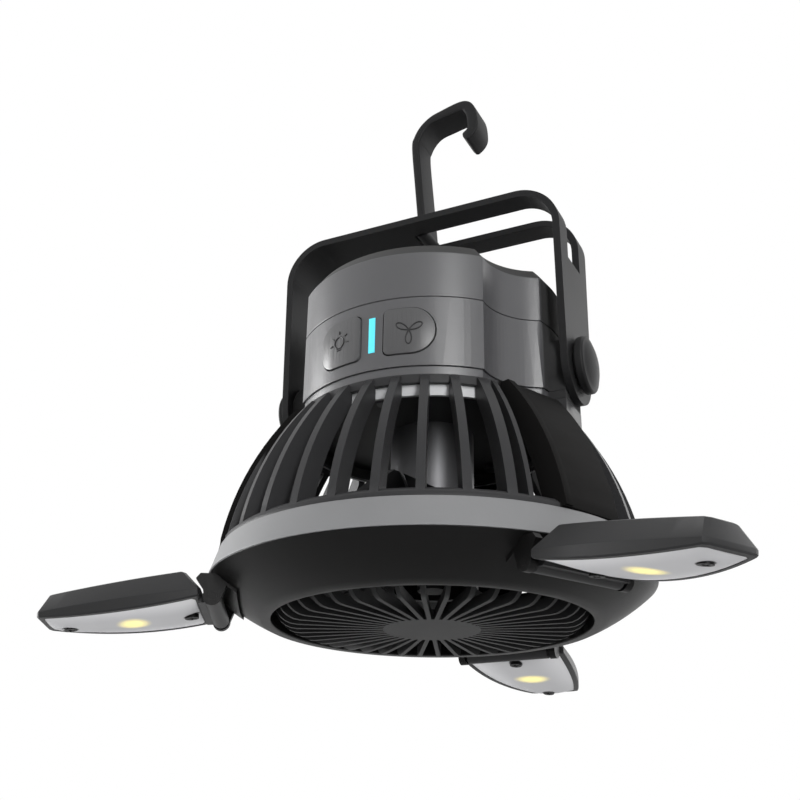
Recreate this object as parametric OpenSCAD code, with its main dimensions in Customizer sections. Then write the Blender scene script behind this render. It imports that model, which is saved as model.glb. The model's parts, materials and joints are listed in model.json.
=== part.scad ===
// Portable camping fan with three hinged lamps, a tilting bracket and a folding hook.
// Millimetres. +Z is up and the control panel faces -Y.
// The origin is the centre of the grille hub's underside.

/* [Ring] */
// Largest radius of the body, where the bowl and the band meet
ring_r = 46; // [45:0.5:50]
// Height of that widest edge above the hub's underside
ring_z = 8.2; // [7.6:0.2:9.4]
// Height of the band
band_h = 6; // [5:0.5:8]
// How far the band leans in between its lower and upper edge
band_lean = 2; // [1:0.25:3]
// Thickness of the band
band_t = 2; // [1.6:0.1:2.4]
// Radius of the air opening in the bowl
opening_r = 32.8; // [32:0.2:34]
// Width of the flat lip around the opening
lip_w = 2.1; // [1.6:0.1:2.6]
// Height of the lip above the hub's underside
lip_z = 1; // [0.6:0.1:1.6]
// How far the bowl bulges outside the straight line from lip to widest edge
bowl_bulge = 0.5; // [0.2:0.1:1]
// Wall thickness of the bowl
bowl_t = 1.8; // [1.4:0.1:2.2]
// Height of the air duct above the lip
duct_h = 10; // [7:0.5:14]

/* [Grille] */
// Number of radial ribs in the grille
rib_count = 42; // [30:1:44]
// Thickness of a grille rib
rib_t = 0.9; // [0.7:0.1:1.1]
// Depth of a grille rib
rib_depth = 2; // [1.4:0.1:2.6]
// Radius of the solid hub disc
hub_r = 10; // [8:0.5:12]
// Radius of the turn with which the ribs run up into the opening
rib_turn = 4.9; // [4:0.1:6]
// Height of the rim that joins the ribs
grille_rim_h = 2; // [1.5:0.1:3]

/* [Cage] */
// How far the foot of the slats stands inside the top edge of the band
cage_step = 0.4; // [0.2:0.1:1]
// How far the top of the cage stands outside the housing
cage_out = 0.6; // [0.4:0.2:1.6]
// Radius of the curve that a slat follows from foot to top
slat_curve = 60; // [50:5:90]
// Slats between one lamp and the next, without the border bars
slat_count = 7; // [5:2:9]
// Thickness of a slat
slat_t = 1.7; // [1.3:0.1:2]
// Depth of a slat towards the inside
slat_depth = 4.5; // [3.5:0.25:5]
// Angle of a border bar from the middle of its lamp
border_angle = 16.4; // [15.8:0.2:18]
// Thickness of a border bar
border_t = 2; // [1.6:0.1:2.4]
// Angle of the thin slat beside a lamp panel
side_slat_angle = 11.4; // [11:0.1:11.8]
// Thickness of the thin slat beside a lamp panel
side_slat_t = 1; // [0.8:0.1:1.2]
// Half the width of the plain panel above each lamp
panel_half_w = 7.4; // [6.8:0.1:7.6]
// Angle from a lamp to the middle of its panel
panel_turn = 6; // [5:0.25:6.5]
// How far the panel stands out from the slats
panel_out = 0.4; // [0.2:0.1:0.8]
// Thickness of the bar along one edge of the panel
edge_bar_t = 1.8; // [1.4:0.1:2.2]
// Height of the cage's foot ring
foot_h = 1.8; // [1.2:0.1:2.4]
// Height of the cage's top ring
top_ring_h = 1.8; // [1.2:0.1:2.4]

/* [Housing] */
// Height at which the housing starts
housing_z = 44; // [42:0.5:46]
// Radius of the housing's three lobes
lobe_r = 29.4; // [28.8:0.2:29.6]
// Depth of the hollow between two lobes
scallop_depth = 3.4; // [2.4:0.2:3.8]
// Half the angle that a hollow takes up
scallop_half = 15; // [13:0.5:16]
// Thickness of the housing wall
wall = 1.8; // [1.4:0.1:2.2]
// Height of the collar under the housing
collar_h = 2; // [1.5:0.1:3]
// How far the collar stands back from the housing
collar_step = 0.4; // [0.2:0.1:0.8]
// Height of the lower housing, from collar to seam
body_h = 15.1; // [14.5:0.5:18]
// Height of the cap's straight wall above the seam
cap_wall_h = 10.5; // [8:0.5:13]
// Height of the cap's chamfer
cap_chamfer_h = 2.9; // [2:0.1:3.4]
// Width of the cap's chamfer
cap_chamfer_w = 2.1; // [1.5:0.1:2.6]
// Width of the shadow groove at the seams
seam = 0.3; // [0.2:0.05:0.5]
// Thickness of the deck that carries the motor
deck_t = 1.6; // [1.2:0.1:2]
// How far the skirt below the deck stands inside the housing
skirt_in = 1.2; // [1:0.1:2]
// How far the skirt reaches below the housing
skirt_h = 4; // [3:0.25:5]
// How far the screw towers stand inside the lobes
tower_in = 6.9; // [6.5:0.1:7.3]
// Angle of a rear screw tower from the rear middle
tower_angle = 14; // [13:0.5:16]
// Radius of a screw tower
tower_r = 2.4; // [2:0.1:2.8]

/* [Bracket] */
// Height of the bracket's pivot above the collar
pivot_rise = 6.8; // [6.6:0.1:8]
// Gap between the housing's lobes and an arm of the bracket
arm_gap = 3.1; // [2.8:0.1:5]
// Thickness of the bracket strap
strap_t = 1.6; // [1.4:0.1:2]
// Height of the bracket above its pivot
bracket_rise = 40.9; // [36:0.5:50]
// Half width of the bracket at the top
strap_half_top = 9.6; // [8.6:0.1:10.4]
// Half width of the bracket at the pivot
strap_half_low = 8.3; // [7:0.1:9]
// Outer corner radius of the bracket
corner_r = 10; // [8:0.5:12]
// Radius of the pivot stud
stud_r = 2; // [1.6:0.1:2.4]
// Radius of the boss that carries the pivot
boss_r = 6.4; // [5.6:0.1:6.8]
// Half width of the post under the boss
post_half_w = 5; // [4:0.25:5.5]
// Radius of the pivot cap
cap_r = 6.2; // [5.4:0.1:7]
// Thickness of the pivot cap's rim
cap_rim_t = 1.9; // [1.4:0.1:2.4]
// Height of the pivot cap's dome
cap_dome = 1.2; // [0.8:0.1:1.6]
// Thickness of the washer between bracket and cap
washer_t = 0.5; // [0.4:0.1:0.8]
// Radius of the washer between bracket and cap
washer_r = 5; // [4:0.25:5.4]

/* [Hook] */
// Place of the hook's pin, across from the middle
hook_x = -1.1; // [-3:0.1:1]
// Width of the hook strap
hook_w = 7.5; // [6:0.25:9]
// Thickness of the hook strap
hook_t = 2; // [1.6:0.1:2.2]
// Height of the hook's neck above its pin
neck_h = 25; // [22:0.5:26]
// How far the neck leans back over that height
neck_lean = 2; // [1:0.1:3]
// Radius of the hook's shoulder
shoulder_r = 8; // [7:0.25:8.5]
// Reach of the hook from its shoulder to its nose
nose_reach = 13.2; // [12.5:0.1:13.6]
// Height of the hook's mouth below the crown
mouth_drop = 9; // [8:0.5:10]
// Radius of the hook's barrel
barrel_r = 1.4; // [1.2:0.1:1.6]
// Radius of the hook's pin
hook_pin_r = 0.5; // [0.4:0.05:0.55]

/* [Lamps] */
// Angle by which an open lamp hangs below level
droop = 7.4; // [4:0.2:9]
// How far the hinge lies inside the widest edge
hinge_in = 2.3; // [2.1:0.1:2.4]
// How far the hinge lies below the widest edge
hinge_below = 5.3; // [5.2:0.1:5.6]
// Length of a lamp from its hinge
lamp_len = 34.5; // [30:0.5:36]
// Distance of the lamp's inner end from its hinge
lamp_start = 2.1; // [2.1:0.05:2.3]
// Half width of a lamp at its inner end
lamp_half_in = 12.8; // [12.4:0.1:13.2]
// Half width of a lamp at its outer end
lamp_half_out = 6.1; // [5:0.1:7]
// Sideways bulge of a lamp's long edges
lamp_bulge = 1.4; // [0.8:0.1:2]
// Depth of the lamp's rim below the hinge
rim_drop = 0.8; // [0.6:0.1:1.1]
// Height of the ridge where the lamp's bevel starts
ridge_h = 1.7; // [1.4:0.1:2]
// Height of the lamp's back above the hinge, at its inner end
back_in_h = 6.3; // [5.8:0.1:6.5]
// Height of the lamp's back above the hinge, at its outer end
back_out_h = 5.4; // [4.8:0.1:5.8]
// Width of the bevel around the lamp's back
bevel_w = 3.3; // [2.8:0.1:3.6]
// Thickness of a lamp's wall
lamp_wall = 1.3; // [1:0.1:1.5]
// Thickness of a lamp's lens
lens_t = 1.7; // [1.3:0.1:2]
// How far the lens stands out of the rim
lens_out = 0.5; // [0.3:0.1:0.8]
// Place of the inner lamp screw along the lamp
screw_in_s = 5.1; // [5.1:0.1:5.6]
// Place of the outer lamp screw along the lamp
screw_out_s = 29.1; // [26:0.1:29.5]
// Place of the light-emitting diode along the lamp
diode_s = 16.6; // [14:0.1:20]
// Radius of the lamp's hinge pin
pin_r = 0.8; // [0.6:0.05:0.9]
// Radius of the lamp's hinge barrel
knuckle_r = 1.7; // [1.5:0.05:1.75]
// Half the length of the hinge barrel
knuckle_half = 10.2; // [9.5:0.1:10.3]
// Thickness of a hinge lug
lug_t = 1.6; // [1.3:0.1:1.8]
// Radius of a hinge lug around the pin
lug_r = 1.85; // [1.6:0.05:1.85]

/* [Controls] */
// Angle between the middle of the panel and the middle of a button
button_angle = 15.4; // [15:0.1:16]
// Width of a button
button_w = 10.5; // [9:0.1:10.6]
// Height of a button
button_h = 10; // [8:0.1:10.4]
// Height of the buttons' middle above the collar
button_rise = 7.7; // [7:0.1:8]
// How far a button stands out of the housing
button_out = 0.35; // [0.2:0.05:0.6]
// Travel of a button
button_travel = 0.6; // [0.4:0.05:0.7]
// Height of the indicator bar
indicator_h = 7.8; // [6:0.1:9]
// Width of the indicator bar
indicator_w = 1.4; // [1:0.1:1.8]
// Width of the charging socket
port_w = 9; // [8.8:0.1:9.4]
// Height of the charging socket
port_h = 3.3; // [3.1:0.1:3.5]
// Depth of the charging socket
port_depth = 7.4; // [6.5:0.1:8]
// Direction of the charging socket around the housing
port_angle = 50; // [45:1:56]
// Thickness of the circuit boards
board_t = 1.6; // [1:0.1:2]

/* [Drive] */
// Radius of the fan wheel
wheel_r = 30.5; // [27:0.5:31]
// Number of blades
blade_count = 7; // [5:1:9]
// Height of the fan wheel
wheel_h = 17; // [12:0.5:18]
// Height of the wheel's underside above the hub's underside
wheel_z = 8; // [6:0.5:9]
// Pitch of the blades
blade_pitch = 34; // [25:1:40]
// Thickness of a blade
blade_t = 1.4; // [1:0.1:1.8]
// Radius of the wheel's hub
wheel_hub_r = 9.6; // [8:0.2:11]
// Radius of the motor shaft
shaft_r = 1; // [0.8:0.1:1.3]
// Radius of the motor
motor_r = 9; // [8:0.2:11]
// Height of the motor
motor_h = 15; // [13:0.5:15.5]
// Thickness of the motor's steel can
can_t = 0.8; // [0.6:0.1:1]
// Radius of the battery cell
cell_r = 9; // [7:0.25:9.2]
// Length of the battery cell
cell_len = 40; // [34:0.5:41]

/* [Fits] */
// Clearance of a pin or shaft in its bore, all round
bore_gap = 0.05; // [0.02:0.01:0.08]
// Clearance of a fixed pin or screw in its seat, all round
seat_gap = 0.01; // [0.01:0.005:0.02]
// Clearance between shells that fit into one another
shell_gap = 0.1; // [0.05:0.05:0.2]
// Clearance around a part that moves
move_gap = 0.3; // [0.2:0.05:0.4]

/* [Hidden] */
$fn = 96;

eps = 0.01;
over = 1;
lamp_angles = [210, 330, 90];
front_angle = 270;
rear_angle = 90;
band_top_r = ring_r - band_lean;
band_top_z = ring_z + band_h;
lip_r = opening_r + lip_w;
cage_foot_r = band_top_r - cage_step;
cage_top_r = lobe_r + cage_out;
skirt_r = lobe_r - skirt_in;
cage_foot_in = cage_foot_r - slat_depth;
collar_z = housing_z + collar_h;
seam_z = collar_z + body_h;
cap_edge_z = seam_z + cap_wall_h;
cap_top_z = cap_edge_z + cap_chamfer_h;
pivot_z = collar_z + pivot_rise;
bracket_top_z = pivot_z + bracket_rise;
arm_in = lobe_r + arm_gap;
arm_out = arm_in + strap_t;
boss_end = arm_in - move_gap / 2;
washer_in = arm_out + bore_gap * 2;
cap_in = washer_in + washer_t + seat_gap;
contact_t = 0.5;
tray_t = 1.4;
stud_room = 1.7;
stud_in = cell_len / 2 + contact_t + tray_t + stud_room;
boss_wall = 2;
hook_pin_hold = 3;
hook_z = bracket_top_z - strap_t / 2;
hinge_r = ring_r - hinge_in;
hinge_z = ring_z - hinge_below;
button_z = collar_z + button_rise;
deck_z = housing_z - deck_t;
lens_bottom = -rim_drop - lens_out;
lens_top = lens_bottom + lens_t;
board_bottom = lens_top + seat_gap;
lamp_board_t = 1;
diode_r = 1.5;
diode_sink = 0.5;
screw_r = 0.9;
screw_head_r = 1.4;
screw_boss_wall = 0.4;
screw_grip = 2.5;
slot_w = 0.4;
slot_len = 1.9;
slot_depth = 0.2;
screw_head_h = 0.8;
case_screw_r = 1;
case_screw_head_r = 1.9;
case_screw_head_h = 1.2;
case_screw_len = 12;
tower_angles = [front_angle, rear_angle - tower_angle, rear_angle + tower_angle];
tower_at = lobe_r - tower_in;
chord_half = lobe_r * sin(scallop_half);
sagitta = lobe_r * cos(scallop_half) - (lobe_r - scallop_depth);
hollow_r = (chord_half * chord_half + sagitta * sagitta) / (2 * sagitta);
hollow_at = lobe_r - scallop_depth + hollow_r;
motor_z = deck_z - motor_h;
end_cap_t = 1.2;
end_cap_step = 0.8;
bearing_r = 3;
bearing_t = 2;
armature_r = motor_r - can_t - 2.4;
magnet_t = 1.6;
cell_y = 2;
cell_z = housing_z + tray_t + cell_r;
tower_gap = 1.5;
control_y = -(tower_at - tower_r - tower_gap - board_t);
control_half = 15;
switch_w = 6;
switch_h = 3.4;
plunger_r = 1.6;
flange_out = 0.6;
flange_t = 1.1;
flange_in = lobe_r - wall - move_gap - flange_t;
stem_reach = 1.4;
stem_gap = 0.5;
button_corner = 1.2;
light_round = 0.7;
fan_round = 0.98;
button_gap = 0.8 * move_gap;
ledge_h = 2.4;
ledge_in = 5;
socket_wall = 0.35;
tongue_t = 0.7;
tongue_in = 1.6;

// Arc through two points, bulging by the given height to the left of the way from p to q.
function arc_points(p, q, bulge, steps) =
    let (chord = norm(q - p), along = (q - p) / chord, side = [-along[1], along[0]],
        radius = (chord * chord / 4 + bulge * bulge) / (2 * bulge),
        centre = (p + q) / 2 - side * (radius - bulge),
        half = asin(chord / 2 / radius))
    [for (i = [0:steps]) let (a = -half + 2 * half * i / steps)
        centre + radius * (side * cos(a) + along * sin(a))];

// Height of a flat arc of the given radius over a chord.
function rise_of(radius, chord) = radius - sqrt(radius * radius - chord * chord / 4);

slat_sink = 0.4;
panel_sink = slat_sink / 2;
slat_proud = 0.5;
foot_edge_h = 0.8;
side_slat_back = 0.3;
top_ring_in = skirt_r + 2 * shell_gap;
back_start = lamp_start + 3.3;
back_end = lamp_len - 2.5;
end_step = 0.5;
plan_corner = 1.2;
plan_step = 0.6;
hinge_bar = [4.6, 1.4];
bar_drop = [0.34, -0.5];
lug_half = knuckle_half + move_gap + lug_t;
cage_top = [cage_top_r, housing_z - slat_sink];
cage_foot = [cage_foot_r, band_top_z + slat_sink];
cage_line = arc_points(cage_top, cage_foot, rise_of(slat_curve, norm(cage_top - cage_foot)), 12);
bowl_line = arc_points([ring_r, ring_z], [lip_r, lip_z], bowl_bulge, 10);

// Half width of a lamp at the distance s from its hinge: a straight taper and a parabola.
function lamp_half(s) = let (t = (s - lamp_start) / (lamp_len - lamp_start))
    lamp_half_in + (lamp_half_out - lamp_half_in) * t + lamp_bulge * 4 * t * (1 - t);
// Height of the lamp's flat back at the distance s.
function back_h(s) = let (t = (s - lamp_start) / (lamp_len - lamp_start))
    back_in_h + (back_out_h - back_in_h) * t;
// Plate that stands in the plane through the axis, from points [r, z], with the given thickness.
module upright(points, thickness) {
    rotate([90, 0, 0])
        translate([0, 0, -thickness / 2])
            linear_extrude(thickness)
                polygon(points);
}

// Puts a child from the lamp's own frame to the lamp at the given angle.
// In that frame x runs along the lamp from the hinge, y across and z up from the lens.
module at_lamp(angle) {
    rotate([0, 0, angle])
        translate([hinge_r, 0, hinge_z])
            rotate([0, droop, 0])
                children();
}

// Solid of the bowl's outside, with everything above and inside it.
module bowl_solid() {
    rotate_extrude()
        polygon(concat([[0, lip_z], [0, housing_z], [ring_r, housing_z]], bowl_line));
}

// Plan of the housing with its three hollows, drawn in by the given amount.
module housing_plan(inset) {
    difference() {
        circle(lobe_r - inset);
        for (angle = lamp_angles)
            rotate(angle)
                translate([hollow_at, 0])
                    circle(hollow_r + inset);
    }
}

// Posts under the two pivot bosses, between two heights.
module pivot_posts(low, high) {
    for (side = [0, 180])
        rotate([0, 0, side])
            difference() {
                translate([lobe_r - wall, -post_half_w, low])
                    cube([boss_end - lobe_r + wall, 2 * post_half_w, high - low]);
                translate([0, 0, low - over])
                    cylinder(r = lobe_r - wall, h = high - low + 2 * over);
            }
}

// Places children at the screw towers.
module at_towers() {
    for (angle = tower_angles)
        rotate([0, 0, angle])
            translate([tower_at, 0, 0])
                children();
}

module housing_cap() {
    color([0.22, 0.22, 0.23])
    difference() {
        union() {
            difference() {
                translate([0, 0, seam_z])
                    linear_extrude(cap_top_z - seam_z)
                        housing_plan(0);
                translate([0, 0, cap_edge_z])
                    rotate_extrude()
                        polygon([[lobe_r, 0], [lobe_r + over, 0], [lobe_r + over, cap_chamfer_h + over],
                            [lobe_r - cap_chamfer_w, cap_chamfer_h + over],
                            [lobe_r - cap_chamfer_w, cap_chamfer_h]]);
                for (angle = lamp_angles)
                    rotate([0, 0, angle])
                        translate([hollow_at, 0, cap_edge_z])
                            cylinder(r1 = hollow_r, r2 = hollow_r + cap_chamfer_w, h = cap_chamfer_h + eps);
                translate([0, 0, seam_z - eps])
                    linear_extrude(cap_wall_h - wall / 2 + eps)
                        housing_plan(wall);
                translate([0, 0, cap_edge_z - wall / 2 - eps])
                    linear_extrude(cap_chamfer_h - wall / 2 + eps)
                        housing_plan(wall + cap_chamfer_w);
                difference() {
                    translate([0, 0, seam_z - eps])
                        linear_extrude(seam + eps)
                            housing_plan(-over);
                    translate([0, 0, seam_z - over])
                        linear_extrude(seam + 2 * over)
                            housing_plan(seam);
                }
            }
            at_towers()
                translate([0, 0, housing_z + seat_gap])
                    cylinder(r = tower_r, h = cap_top_z - wall - housing_z, $fn = 48);
        }
        at_towers()
            translate([0, 0, housing_z - over])
                cylinder(r = case_screw_r + seat_gap, h = case_screw_len + over, $fn = 48);
    }
}

// Outline of a button, wide along x and high along y, grown by the given amount.
// The light button is rounder on its left, the fan button on its right.
module button_outline(kind, grow) {
    w = button_w / 2 + grow;
    h = button_h / 2 + grow;
    left = kind == "light" ? h * light_round : button_corner + grow;
    right = kind == "light" ? button_corner + grow : h * fan_round;
    for (y = [-1, 1]) {
        translate([left - w, y * (h - left)])
            circle(left);
        translate([w - right, y * (h - right)])
            circle(right);
    }
    translate([left - w, -h])
        square([2 * w - left - right, 2 * h]);
    translate([-w, left - h])
        square([w, 2 * (h - left)]);
    translate([0, right - h])
        square([w, 2 * (h - right)]);
}

// Turns a child whose z points outwards to the button on the given side of the panel's middle.
module at_button(side) {
    rotate([0, 0, front_angle + side * button_angle])
        translate([0, 0, button_z])
            rotate([90, 0, 90])
                children();
}

module housing_body() {
    color([0.3, 0.3, 0.31])
    difference() {
        union() {
            difference() {
                translate([0, 0, collar_z])
                    linear_extrude(body_h)
                        housing_plan(0);
                translate([0, 0, collar_z - eps])
                    linear_extrude(body_h + 2 * eps)
                        housing_plan(wall);
            }
            pivot_posts(collar_z, pivot_z);
            difference() {
                translate([-boss_end, 0, pivot_z])
                    rotate([0, 90, 0])
                        cylinder(r = boss_r, h = 2 * boss_end);
                translate([0, 0, pivot_z - boss_r - over])
                    cylinder(r = lobe_r - wall - boss_wall, h = 2 * boss_r + 2 * over);
            }
            rotate([0, 0, port_angle])
                intersection() {
                    translate([lobe_r - wall - ledge_in, -port_w / 2, collar_z])
                        cube([ledge_in + wall / 2, port_w, ledge_h]);
                    translate([0, 0, collar_z])
                        linear_extrude(ledge_h + over)
                            housing_plan(wall / 2);
                }
        }
        translate([-boss_end - over, 0, pivot_z])
            rotate([0, 90, 0])
                cylinder(r = stud_r + seat_gap, h = 2 * boss_end + 2 * over, $fn = 64);
        at_button(-1)
            translate([0, 0, lobe_r - wall - over])
                linear_extrude(wall + 2 * over)
                    button_outline("light", button_gap);
        at_button(1)
            translate([0, 0, lobe_r - wall - over])
                linear_extrude(wall + 2 * over)
                    button_outline("fan", button_gap);
        at_button(0)
            translate([-indicator_w / 2 - seat_gap, -indicator_h / 2 - seat_gap, lobe_r - wall - over])
                cube([indicator_w + 2 * seat_gap, indicator_h + 2 * seat_gap, wall + 2 * over]);
        at_port()
            linear_extrude(port_depth + over)
                port_outline(seat_gap * 2);
    }
}

// Puts a child with its z pointing outwards at the inner end of the charging socket.
module at_port() {
    rotate([0, 0, port_angle])
        translate([lobe_r - port_depth, 0, collar_z + ledge_h + board_t + port_h / 2])
            rotate([90, 0, 90])
                children();
}

// Outline of the charging socket, grown by the given amount.
module port_outline(grow) {
    r = port_h / 2;
    for (side = [-1, 1])
        translate([side * (port_w / 2 - r), 0])
            circle(r + grow, $fn = 48);
    square([port_w - 2 * r, port_h + 2 * grow], center = true);
}

module charging_socket() {
    color([0.75, 0.75, 0.76])
    at_port() {
        difference() {
            linear_extrude(port_depth - seam)
                port_outline(0);
            translate([0, 0, 2 * socket_wall])
                linear_extrude(port_depth)
                    port_outline(-socket_wall);
        }
        translate([-port_w / 2 + tongue_in, -tongue_t / 2, socket_wall])
            cube([port_w - 2 * tongue_in, tongue_t, port_depth - tongue_in]);
    }
}

module charging_board() {
    color([0.1, 0.35, 0.2])
    rotate([0, 0, port_angle])
        translate([lobe_r - wall - port_depth, -port_w / 2, collar_z + ledge_h])
            cube([port_depth - 2 * move_gap, port_w, board_t]);
}

module lower_collar() {
    color([0.25, 0.25, 0.26]) {
        translate([0, 0, housing_z])
            linear_extrude(collar_h)
                difference() {
                    housing_plan(collar_step);
                    housing_plan(wall + collar_step);
                }
        difference() {
            pivot_posts(housing_z, collar_z);
            translate([0, 0, housing_z - over])
                cylinder(r = lobe_r - collar_step - wall / 2, h = collar_h + 2 * over);
        }
    }
}

module deck() {
    color([0.6, 0.61, 0.62])
    difference() {
        rotate_extrude()
            polygon([[bearing_r + 1, deck_z], [skirt_r - wall, deck_z], [skirt_r - wall, housing_z - skirt_h],
                [skirt_r, housing_z - skirt_h], [skirt_r, housing_z], [bearing_r + 1, housing_z]]);
        at_towers()
            translate([0, 0, deck_z - over])
                cylinder(r = case_screw_r + bore_gap, h = deck_t + 2 * over, $fn = 48);
    }
}

module case_screws() {
    color([0.7, 0.7, 0.72])
    at_towers() {
        translate([0, 0, deck_z - case_screw_head_h])
            cylinder(r = case_screw_head_r, h = case_screw_head_h, $fn = 48);
        translate([0, 0, deck_z - eps])
            cylinder(r = case_screw_r, h = case_screw_len - over, $fn = 48);
    }
}

// Outline [r, z] of a slat: the cage's curve outside, its depth inside, clear of the skirt.
function slat_outline(out) = concat(
    [for (p = cage_line) p + [out, 0]],
    [for (i = [len(cage_line) - 1:-1:0]) let (p = cage_line[i])
        [max(p[0] - slat_depth, top_ring_in + slat_sink), p[1]]]);

module slat_cage() {
    sector = 360 / len(lamp_angles);
    free_angle = sector - 2 * border_angle;
    pitch = free_angle / (slat_count + 1);
    color([0.2, 0.2, 0.21]) {
        rotate_extrude()
            polygon([[cage_foot_in + slat_proud, band_top_z], [cage_foot_r + cage_step / 2, band_top_z],
                [cage_foot_r + cage_step / 2, band_top_z + foot_edge_h],
                [cage_foot_r - 2 * slat_proud, band_top_z + foot_h],
                [cage_foot_in + slat_proud, band_top_z + foot_h]]);
        rotate_extrude()
            polygon([[top_ring_in, housing_z - top_ring_h],
                [cage_top_r - slat_proud, housing_z - top_ring_h],
                [cage_top_r - slat_proud, housing_z], [top_ring_in, housing_z]]);
        for (angle = lamp_angles) {
            for (i = [1:slat_count])
                rotate([0, 0, angle + border_angle + i * pitch])
                    upright(slat_outline(0), slat_t);
            for (side = [-1, 1])
                rotate([0, 0, angle + side * border_angle])
                    upright(slat_outline(0), border_t);
            rotate([0, 0, angle - side_slat_angle])
                upright(slat_outline(-side_slat_back), side_slat_t);
            rotate([0, 0, angle + panel_turn]) {
                translate([0, 0, -panel_sink])
                    upright(slat_outline(panel_out), 2 * panel_half_w);
                translate([0, edge_bar_t / 2 - panel_half_w, 0])
                    upright(slat_outline(2 * panel_out), edge_bar_t);
            }
        }
        intersection() {
            pivot_posts(housing_z - skirt_h - 1, housing_z);
            difference() {
                cylinder(r = 2 * lobe_r, h = housing_z);
                translate([0, 0, -over])
                    cylinder(r = top_ring_in + 2 * shell_gap, h = housing_z + 2 * over);
            }
        }
    }
}

module ring_band() {
    color([0.5, 0.51, 0.52])
    rotate_extrude()
        polygon([[ring_r, ring_z], [band_top_r, band_top_z], [band_top_r - band_t, band_top_z],
            [ring_r - band_t, ring_z]]);
}

module bottom_ring() {
    color([0.1, 0.1, 0.11])
    rotate_extrude()
        polygon(concat([[opening_r, lip_z + duct_h], [opening_r, lip_z]],
            [for (i = [len(bowl_line) - 1:-1:0]) bowl_line[i]],
            [[ring_r - bowl_t, ring_z]],
            [for (p = bowl_line) if (p[1] + bowl_t < ring_z && p[0] > opening_r + 2 * bowl_t)
                p + [-0.4 * bowl_t, bowl_t]],
            [[opening_r + bowl_t, lip_z + bowl_t + 0.6], [opening_r + bowl_t, lip_z + duct_h]]));
}

module front_grille() {
    inner_r = rib_turn - rib_depth;
    rim_out = opening_r - shell_gap;
    rim_in = rim_out - rib_depth - move_gap;
    bend_r = rim_out - move_gap - rib_turn;
    turn = [for (a = [0:15:90]) [sin(a), -cos(a)]];
    outline = concat([[hub_r - over, 0]],
        [for (d = turn) [bend_r, rib_turn] + rib_turn * d],
        [for (i = [len(turn) - 1:-1:0]) [bend_r, rib_turn] + inner_r * turn[i]],
        [[hub_r - over, rib_depth]]);
    color([0.08, 0.08, 0.08]) {
        cylinder(r = hub_r, h = rib_depth);
        difference() {
            for (i = [0:rib_count - 1])
                rotate([0, 0, i * 360 / rib_count])
                    upright(outline, rib_t);
            translate([0, 0, -over])
                cylinder(r = hub_r - eps, h = rib_depth + 2 * over);
        }
        translate([0, 0, rib_turn])
            rotate_extrude()
                polygon([[rim_in, 0], [rim_out, 0], [rim_out, grille_rim_h], [rim_in, grille_rim_h]]);
    }
}

// Plan of a lamp, drawn in by the given amount, between two distances from the hinge.
module lamp_plan(inset, start, end) {
    steps = 10;
    near = lamp_half(start) - inset - plan_corner;
    far = lamp_half(end) - inset - plan_corner;
    side = [for (i = [0:steps]) let (s = start + (end - start) * i / steps)
        [s + (i == 0 ? plan_step : 0), lamp_half(s) - inset]];
    polygon(concat(
        [[start, -near]],
        [for (p = side) [p[0], -p[1]]],
        [[end + end_step, -far], [end + end_step, far]],
        [for (i = [steps:-1:0]) side[i]],
        [[start, near]]));
}

// Sloping slab between two heights of the lamp's back, as wide as the given plan.
module back_slab(inset, start, end, below) {
    translate([start, 0, back_h(start) - below])
        rotate([0, atan((back_in_h - back_out_h) / (lamp_len - lamp_start)), 0])
            translate([-start, 0, 0])
                linear_extrude(eps * 2)
                    lamp_plan(inset, start, end);
}

module lamp_back() {
    inner_wall = lamp_start + lamp_wall;
    outer_wall = lamp_len - lamp_wall - end_step;
    shoulder_half = lamp_half_in - 0.85 * bevel_w;
    difference() {
        union() {
            difference() {
                hull() {
                    translate([0, 0, -rim_drop])
                        linear_extrude(rim_drop + ridge_h)
                            lamp_plan(0, lamp_start, lamp_len - end_step);
                    back_slab(bevel_w, back_start, back_end, 2 * eps);
                    translate([lamp_start + 1, -shoulder_half, 0])
                        cube([1, 2 * shoulder_half, 2.3 * ridge_h]);
                }
                translate([0, 0, -rim_drop - over])
                    linear_extrude(rim_drop + over + lens_top)
                        lamp_plan(lamp_wall, inner_wall, outer_wall);
                hull() {
                    translate([0, 0, lens_top - eps])
                        linear_extrude(ridge_h - lens_top)
                            lamp_plan(lamp_wall, inner_wall, outer_wall);
                    back_slab(bevel_w + 0.7 * lamp_wall, back_start + lamp_wall, back_end - lamp_wall,
                        lamp_wall);
                }
            }
            for (s = [screw_in_s, screw_out_s])
                translate([s, 0, lens_top])
                    cylinder(r = screw_head_r + screw_boss_wall, h = back_h(s) - lens_top - lamp_wall / 2,
                        $fn = 48);
            rotate([90, 0, 0])
                cylinder(r = knuckle_r, h = 2 * knuckle_half, center = true, $fn = 64);
            translate([0, -knuckle_half, -rim_drop])
                cube([lamp_start + lamp_wall / 2, 2 * knuckle_half, 2 * rim_drop]);
        }
        rotate([90, 0, 0])
            cylinder(r = pin_r + bore_gap, h = 2 * knuckle_half + 2 * over, center = true, $fn = 64);
        for (s = [screw_in_s, screw_out_s])
            translate([s, 0, lens_top - over])
                cylinder(r = screw_r + seat_gap, h = 1.2 * screw_grip + over, $fn = 48);
    }
}

module lamp_lens() {
    inner_wall = lamp_start + lamp_wall + shell_gap;
    outer_wall = lamp_len - lamp_wall - end_step - shell_gap;
    difference() {
        translate([0, 0, lens_bottom])
            linear_extrude(lens_t)
                lamp_plan(lamp_wall + shell_gap, inner_wall, outer_wall);
        for (s = [screw_in_s, screw_out_s])
            translate([s, 0, lens_bottom - over]) {
                cylinder(r = screw_r + bore_gap, h = lens_t + 2 * over, $fn = 48);
                cylinder(r = screw_head_r + bore_gap, h = over + screw_head_h, $fn = 48);
            }
        translate([diode_s, 0, lens_bottom - over])
            cylinder(r = diode_r + 0.7, h = lens_t + 2 * over, $fn = 48);
    }
}

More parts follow.
